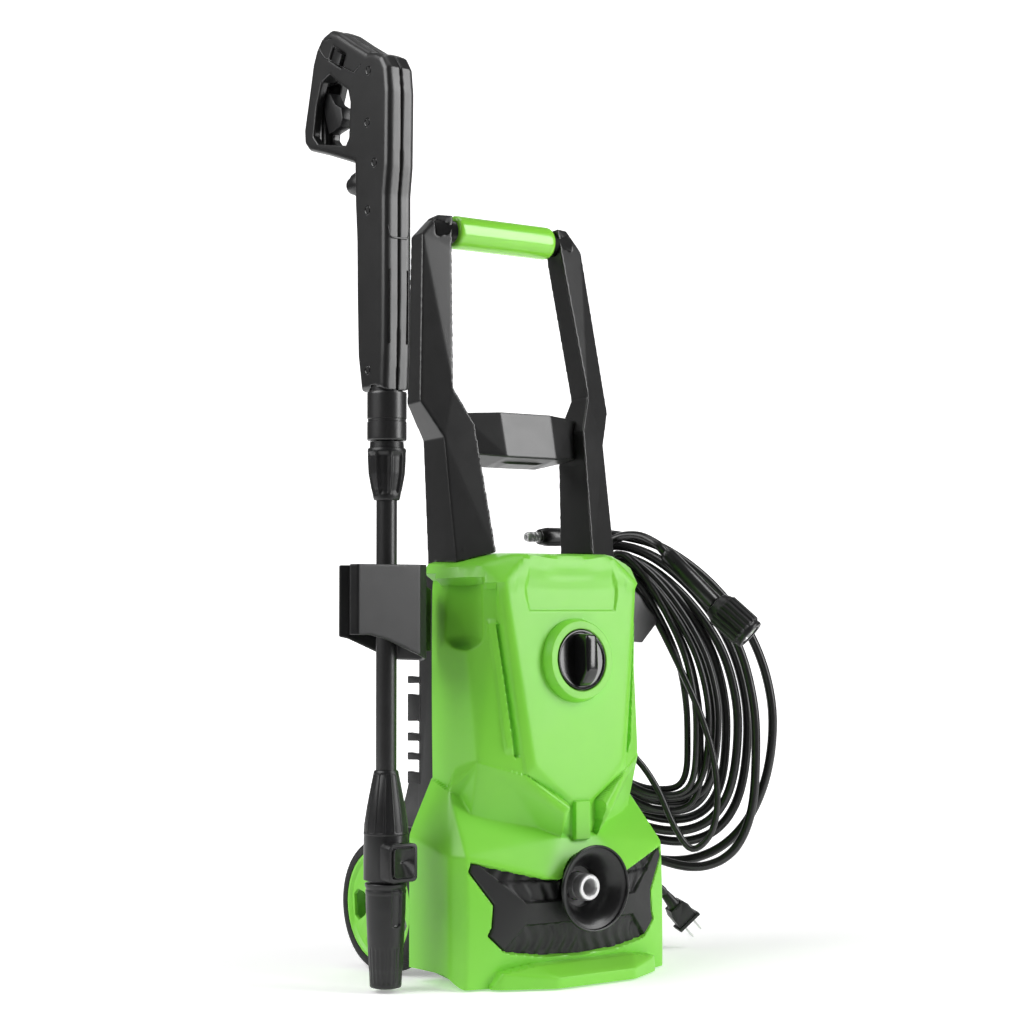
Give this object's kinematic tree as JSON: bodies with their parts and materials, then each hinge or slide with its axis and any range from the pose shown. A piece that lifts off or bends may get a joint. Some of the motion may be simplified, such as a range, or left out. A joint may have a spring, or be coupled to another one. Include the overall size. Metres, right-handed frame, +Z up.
{
  "type": "pressure washer",
  "caption": "Upright electric pressure washer with a U-frame handle, front dial and outlet bell, two wheels, a gun and lance in a side clip, and a hose and mains lead hung on a side hook.",
  "frame": {"origin": "middle of the underside of the front foot, on the floor", "axes": "+Z up, the front panel faces -Y, +X to the right of a viewer who faces the front"},
  "size_m": [0.6, 0.3058, 0.988],
  "materials": {
    "green_abs": "satin green moulding",
    "black_abs": "fine grained black moulding",
    "satin_black": "satin black moulding",
    "rubber": "smooth black rubber",
    "tyre_rubber": "solid black tyre",
    "steel": "plated steel",
    "brass": "machined",
    "winding": "wound armature",
    "inner_plastic": "pale inner plastic"
  },
  "bodies": {
    "machine": {"front_housing": "green_abs", "mask_trim": "black_abs", "outlet_bell": "black_abs", "outlet_nipple": "steel", "switch_body": "inner_plastic", "motor_housing": "steel", "pump_gearcase": "steel", "pump_head": "steel", "water_inlet": "brass", "capacitor": "inner_plastic", "rear_housing": "black_abs", "chassis_tray": "black_abs", "front_foot": "rubber", "wheel_axle": "steel", "handle_arm_right": "satin_black", "handle_arm_left": "satin_black", "handle_tube": "steel", "grip_sleeve": "green_abs", "handle_crossbar": "satin_black", "lance_holder": "black_abs", "hose_hook": "satin_black", "hose_coil": "rubber", "hose_to_quick_plug": "rubber", "quick_plug_cuff": "rubber", "quick_plug": "steel", "hose_to_collar": "rubber", "collar_cuff": "rubber", "collar_insert": "steel", "lead_gland": "rubber", "power_lead": "rubber", "lead_coil": "rubber", "lead_to_plug": "rubber", "plug_body": "black_abs", "plug_blade_a": "steel", "plug_blade_b": "steel"},
    "left_wheel": {"left_tyre": "tyre_rubber", "left_rim": "green_abs", "left_hub_cap": "black_abs"},
    "right_wheel": {"right_tyre": "tyre_rubber", "right_rim": "green_abs", "right_hub_cap": "black_abs"},
    "knob": {"switch_knob": "black_abs"},
    "rotor": {"motor_rotor": "winding", "cooling_fan": "black_abs", "wobble_plate": "brass"},
    "gun": {"gun_shell_left": "satin_black", "gun_shell_right": "satin_black", "gun_inlet": "black_abs", "gun_collar": "black_abs"},
    "trigger_body": {"trigger": "black_abs"},
    "lock_body": {"trigger_lock": "black_abs"},
    "lance": {"lance_nut": "black_abs", "lance_tube": "satin_black", "lance_socket": "black_abs"},
    "button_body": {"release_button": "satin_black"},
    "nozzle_body": {"spray_nozzle": "black_abs"},
    "collar_body": {"hose_collar": "black_abs"}
  },
  "joints": [
    {"name": "left_wheel_spin", "type": "hinge", "parent": "machine", "child": "left_wheel", "pos_m": [-0.118, 0.164, 0.07], "axis": [1, 0, 0], "continuous": true},
    {"name": "right_wheel_spin", "type": "hinge", "parent": "machine", "child": "right_wheel", "pos_m": [0.118, 0.164, 0.07], "axis": [1, 0, 0], "continuous": true},
    {"name": "switch_turn", "type": "hinge", "parent": "machine", "child": "knob", "pos_m": [0, -0.0061, 0.33], "axis": [0, -0.9979, 0.0645], "range_deg": [-90, 0]},
    {"name": "rotor_spin", "type": "hinge", "parent": "machine", "child": "rotor", "pos_m": [0, 0.077, 0.25], "axis": [0, 0, 1], "continuous": true},
    {"name": "gun_take_out", "type": "slide", "parent": "machine", "child": "gun", "axis": [-1, 0, 0], "range_m": [0, 0.1]},
    {"name": "trigger_pull", "type": "hinge", "parent": "gun", "child": "trigger_body", "pos_m": [-0.192, 0.164, 0.921], "axis": [1, 0, 0], "range_deg": [0, 9], "stiffness_Nm_per_rad": 0.6, "springref_deg": -11.46},
    {"name": "trigger_lock_slide", "type": "slide", "parent": "gun", "child": "lock_body", "axis": [0, 0.8788, 0.4772], "range_m": [0, 0.006]},
    {"name": "lance_twist", "type": "hinge", "parent": "gun", "child": "lance", "pos_m": [-0.192, 0.06, 0.52], "axis": [0, 0, 1], "range_deg": [0, 45]},
    {"name": "button_press", "type": "slide", "parent": "lance", "child": "button_body", "axis": [0, 1, 0], "range_m": [0, 0.003], "stiffness_N_per_m": 300, "springref_m": -0.002},
    {"name": "nozzle_twist", "type": "hinge", "parent": "lance", "child": "nozzle_body", "pos_m": [-0.192, 0.06, 0.06], "axis": [0, 0, 1], "range_deg": [0, 180]},
    {"name": "collar_spin", "type": "hinge", "parent": "machine", "child": "collar_body", "pos_m": [0.24598, 0.04737, 0.38843], "axis": [0.4275, -0.6136, -0.6639], "continuous": true}
  ]
}
